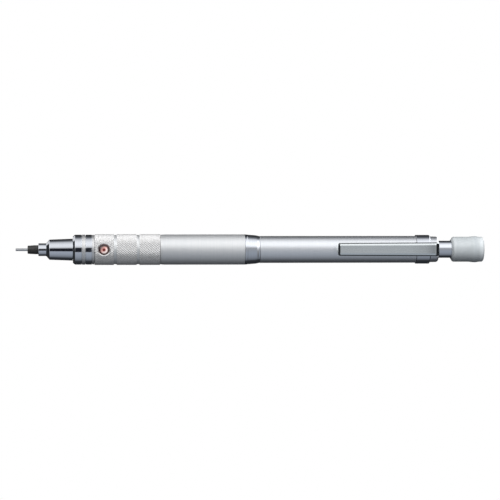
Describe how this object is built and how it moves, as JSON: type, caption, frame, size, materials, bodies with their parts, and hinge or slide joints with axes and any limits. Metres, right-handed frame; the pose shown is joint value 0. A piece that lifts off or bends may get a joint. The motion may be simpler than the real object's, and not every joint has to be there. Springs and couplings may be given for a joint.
{
  "type": "mechanical pencil",
  "caption": "Slim metal drafting mechanical pencil with a knurled grip, a turning-lead mechanism behind a round window, a steel clip and a push cap.",
  "frame": {"origin": "middle of the length and width, at the lowest point of the pencil with its clip up", "axes": "+X from the writing tip to the cap, +Z the side with the clip and the window"},
  "size_m": [0.1436, 0.0094, 0.0111],
  "materials": {
    "steel": "brushed",
    "black_tip": "fine texture",
    "rubber": "matte",
    "polished_plating": "polished",
    "knurled_aluminium": "satin, diamond knurl",
    "satin_aluminium": "satin",
    "clear_lens": "clear",
    "white_plastic": "matte",
    "orange_plastic": "gloss",
    "spring_steel": "bright wire",
    "brass": "turned",
    "black_plastic": "matte",
    "graphite": "satin graphite",
    "clip_steel": "brushed along its length",
    "eraser_white": "matte",
    "frosted_plastic": "frosted, slightly translucent"
  },
  "bodies": {
    "barrel": {"inner_sleeve": "white_plastic", "grip_sleeve": "knurled_aluminium", "window_lens": "clear_lens", "front_cam_ring": "white_plastic", "rear_cam_ring": "white_plastic", "cushion_spring": "spring_steel", "chuck_spring": "spring_steel", "front_barrel": "satin_aluminium", "joint_ring": "polished_plating", "rear_barrel": "satin_aluminium", "clip_band": "polished_plating", "tail_plug": "polished_plating"},
    "nose_carrier": {"front_ring": "polished_plating"},
    "nose": {"nose_cone": "polished_plating"},
    "tip": {"tip_slider": "black_tip", "lead_sleeve": "steel", "lead_retainer": "rubber"},
    "cushion": {"cushion_slider": "white_plastic"},
    "rotor": {"rotor": "orange_plastic"},
    "button": {"button_tube": "polished_plating", "lead_tank": "white_plastic", "tank_joint": "black_plastic", "spare_lead_1": "graphite", "spare_lead_2": "graphite"},
    "chuck": {"chuck": "brass"},
    "lead": {"lead": "graphite"},
    "chuck_ring": {"chuck_ring": "brass"},
    "cap": {"push_cap": "frosted_plastic"},
    "eraser": {"eraser": "eraser_white"},
    "clip": {"clip": "clip_steel"}
  },
  "joints": [
    {"name": "button_press", "type": "slide", "parent": "barrel", "child": "button", "axis": [-1, 0, 0], "range_m": [0, 0.0033], "stiffness_N_per_m": 200, "springref_m": -0.004, "deforming": ["chuck_spring"]},
    {"name": "chuck_turn", "type": "hinge", "parent": "button", "child": "chuck", "pos_m": [-0.0218, 0, 0.00471], "axis": [1, 0, 0], "continuous": true},
    {"name": "lead_feed", "type": "slide", "parent": "chuck", "child": "lead", "axis": [-1, 0, 0], "range_m": [0, 0.044]},
    {"name": "ring_travel", "type": "slide", "parent": "barrel", "child": "chuck_ring", "axis": [-1, 0, 0], "range_m": [-0.00005, 0.0009]},
    {"name": "writing_cushion", "type": "slide", "parent": "barrel", "child": "cushion", "axis": [1, 0, 0], "range_m": [0, 0.0003], "stiffness_N_per_m": 8, "springref_m": -0.002, "deforming": ["cushion_spring"]},
    {"name": "rotor_spin", "type": "hinge", "parent": "cushion", "child": "rotor", "pos_m": [-0.0447, 0, 0.00471], "axis": [1, 0, 0], "continuous": true},
    {"name": "nose_unscrew", "type": "hinge", "parent": "nose_carrier", "child": "nose", "pos_m": [-0.0578, 0, 0.00471], "axis": [1, 0, 0], "range_deg": [0, 2161]},
    {"name": "nose_advance", "type": "slide", "parent": "barrel", "child": "nose_carrier", "axis": [-1, 0, 0], "range_m": [0, 0.0045]},
    {"name": "tip_turn", "type": "hinge", "parent": "nose_carrier", "child": "tip", "pos_m": [-0.0648, 0, 0.00471], "axis": [1, 0, 0], "continuous": true},
    {"name": "cap_pull", "type": "slide", "parent": "button", "child": "cap", "axis": [1, 0, 0], "range_m": [0, 0.016]},
    {"name": "eraser_pull", "type": "slide", "parent": "button", "child": "eraser", "axis": [1, 0, 0], "range_m": [0, 0.00805]},
    {"name": "clip_flex", "type": "hinge", "parent": "barrel", "child": "clip", "pos_m": [0.05762, 0, 0.00801], "axis": [0, 1, 0], "range_deg": [0, 5], "stiffness_Nm_per_rad": 0.004, "springref_deg": -11.46}
  ],
  "couplings": [
    {"joint": "chuck_turn", "follows": "rotor_spin", "ratio": 1},
    {"joint": "tip_turn", "follows": "rotor_spin", "ratio": 1},
    {"joint": "ring_travel", "follows": "button_press", "ratio": 0.25},
    {"joint": "nose_unscrew", "follows": "nose_advance", "rad_per_m": 8377.6},
    {"joint": "eraser_pull", "follows": "cap_pull", "ratio": 0.5}
  ]
}
